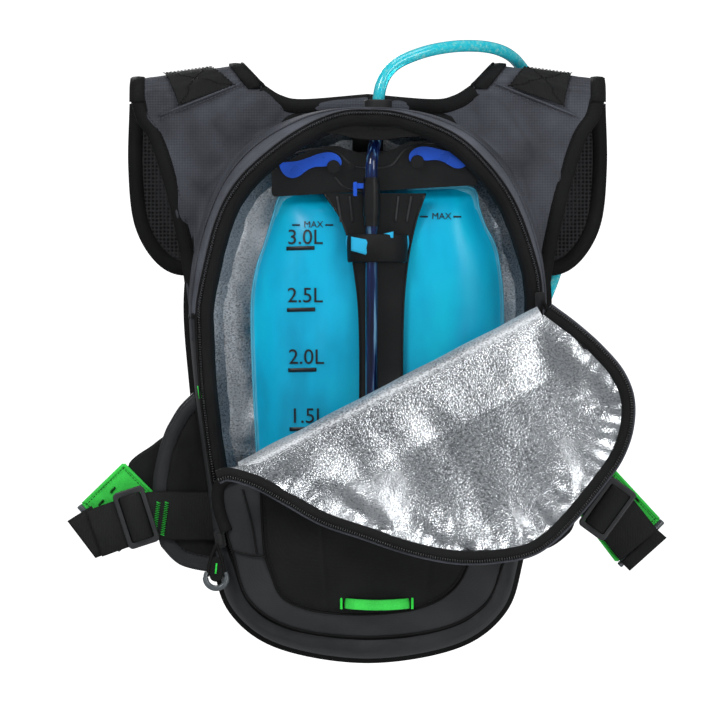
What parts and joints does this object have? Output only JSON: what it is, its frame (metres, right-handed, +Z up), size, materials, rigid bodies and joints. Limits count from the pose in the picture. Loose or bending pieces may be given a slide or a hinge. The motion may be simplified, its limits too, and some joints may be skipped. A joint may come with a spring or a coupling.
{
  "type": "hydration pack",
  "caption": "Hydration pack with a padded yoke, hip wings and an insulated compartment; the front panel is unzipped and folded down over a soft reservoir with a drinking hose.",
  "frame": {"origin": "on the plane that the wearer's back touches, at the middle of the pack's width, about half way up", "axes": "+Y out of the back of the pack toward the wearer, +Z up, +X to the right seen from the front"},
  "size_m": [0.4633, 0.1963, 0.4845],
  "materials": {
    "yoke_cloth": "ripstop",
    "black_cloth": "woven",
    "grey_cloth": "woven",
    "mesh": "air mesh",
    "webbing": "webbing",
    "green_cloth": "webbing",
    "foil_lining": "crinkled foil",
    "film": "translucent film",
    "hose": "clear tube",
    "blue_plastic": "satin",
    "black_plastic": "satin",
    "grey_plastic": "satin",
    "zip": "coil",
    "rubber": "matt"
  },
  "bodies": {
    "pack": {"back_pads": "mesh", "back_panel": "black_cloth", "bottom_sweep": "grey_cloth", "closure_bar": "black_plastic", "closure_rail": "black_plastic", "closure_screws": "blue_plastic", "drinking_hose_arc": "hose", "front_panel": "black_cloth", "hose_connector": "black_plastic", "hose_keeper": "webbing", "hose_port": "rubber", "inner_hose": "hose", "insulated_lining": "foil_lining", "lever_pins": "black_plastic", "light_loop": "green_cloth", "outlet_port": "black_plastic", "reservoir_bag": "film", "reservoir_hanger": "webbing", "reservoir_spine": "black_plastic", "shoulder_patches": "webbing", "side_gusset": "grey_cloth", "strap_anchor_left": "webbing", "strap_anchor_right": "webbing", "yoke": "yoke_cloth", "zip_track": "zip"},
    "flap": {"flap_panel": "foil_lining", "flap_zip_track": "zip"},
    "lever_left": {"lever_left": "blue_plastic"},
    "lever_right": {"lever_right": "blue_plastic"},
    "release_button": {"release_button": "blue_plastic"},
    "slider_left": {"zip_slider_left": "zip"},
    "slider_right": {"zip_slider_right": "zip"},
    "pull_left": {"zip_pull_left": "rubber"},
    "pull_right": {"zip_pull_right": "rubber"},
    "strap_left": {"strap_pad_left": "mesh", "strap_adjuster_left": "black_plastic", "strap_webbing_left": "webbing"},
    "strap_right": {"strap_pad_right": "mesh", "strap_adjuster_right": "black_plastic", "strap_webbing_right": "webbing", "hose_clip": "black_plastic", "drinking_hose_drop": "hose", "bite_valve": "rubber"},
    "hip_left": {"hip_wing_left": "black_cloth", "belt_layer_left": "black_cloth", "belt_webbing_left": "webbing", "belt_tab_left": "green_cloth", "loop_bar_left": "grey_plastic"},
    "hip_right": {"hip_wing_right": "black_cloth", "belt_layer_right": "black_cloth", "belt_webbing_right": "webbing", "belt_tab_right": "green_cloth", "loop_bar_right": "grey_plastic"},
    "triglide_left": {"triglide_left": "black_plastic"},
    "triglide_right": {"triglide_right": "black_plastic"}
  },
  "joints": [
    {"name": "flap_fold", "type": "hinge", "parent": "pack", "child": "flap", "pos_m": [0.008, -0.1155, 0.009], "axis": [-0.8884, 0, -0.459], "range_deg": [0, 178]},
    {"name": "lever_left_turn", "type": "hinge", "parent": "pack", "child": "lever_left", "pos_m": [-0.0266, -0.06, 0.1586], "axis": [0, -1, 0], "range_deg": [0, 42]},
    {"name": "lever_right_turn", "type": "hinge", "parent": "pack", "child": "lever_right", "pos_m": [0.0388, -0.06, 0.1625], "axis": [0, 1, 0], "range_deg": [0, 42]},
    {"name": "release_press", "type": "slide", "parent": "pack", "child": "release_button", "axis": [1, 0, 0], "range_m": [0, 0.0025], "stiffness_N_per_m": 400},
    {"name": "zip_left_run", "type": "slide", "parent": "pack", "child": "slider_left", "axis": [-0.1701, 0, 0.9854], "range_m": [0, 0.058]},
    {"name": "zip_right_run", "type": "slide", "parent": "pack", "child": "slider_right", "axis": [-0.014, 0, -0.9999], "range_m": [0, 0.04]},
    {"name": "pull_left_swing", "type": "hinge", "parent": "slider_left", "child": "pull_left", "pos_m": [-0.1176, -0.092, -0.134], "axis": [-1, 0, 0], "range_deg": [0, 110]},
    {"name": "pull_right_swing", "type": "hinge", "parent": "slider_right", "child": "pull_right", "pos_m": [0.136, -0.092, 0.055], "axis": [-1, 0, 0], "range_deg": [0, 110]},
    {"name": "strap_left_swing", "type": "hinge", "parent": "pack", "child": "strap_left", "pos_m": [-0.099, 0.026, 0.2228], "axis": [0.9906, 0, 0.1366], "range_deg": [0, 70]},
    {"name": "strap_right_swing", "type": "hinge", "parent": "pack", "child": "strap_right", "pos_m": [0.099, 0.026, 0.2228], "axis": [0.9906, 0, -0.1366], "range_deg": [0, 70]},
    {"name": "hip_left_wrap", "type": "hinge", "parent": "pack", "child": "hip_left", "pos_m": [-0.1282, -0.024, -0.09], "axis": [0.1286, 0, -0.9917], "range_deg": [0, 80]},
    {"name": "hip_right_wrap", "type": "hinge", "parent": "pack", "child": "hip_right", "pos_m": [0.1282, -0.024, -0.09], "axis": [0.1286, 0, 0.9917], "range_deg": [0, 80]},
    {"name": "triglide_left_slide", "type": "slide", "parent": "hip_left", "child": "triglide_left", "axis": [-0.9511, 0, -0.309], "range_m": [-0.008, 0.03]},
    {"name": "triglide_right_slide", "type": "slide", "parent": "hip_right", "child": "triglide_right", "axis": [0.6429, 0, -0.7659], "range_m": [-0.008, 0.03]}
  ]
}
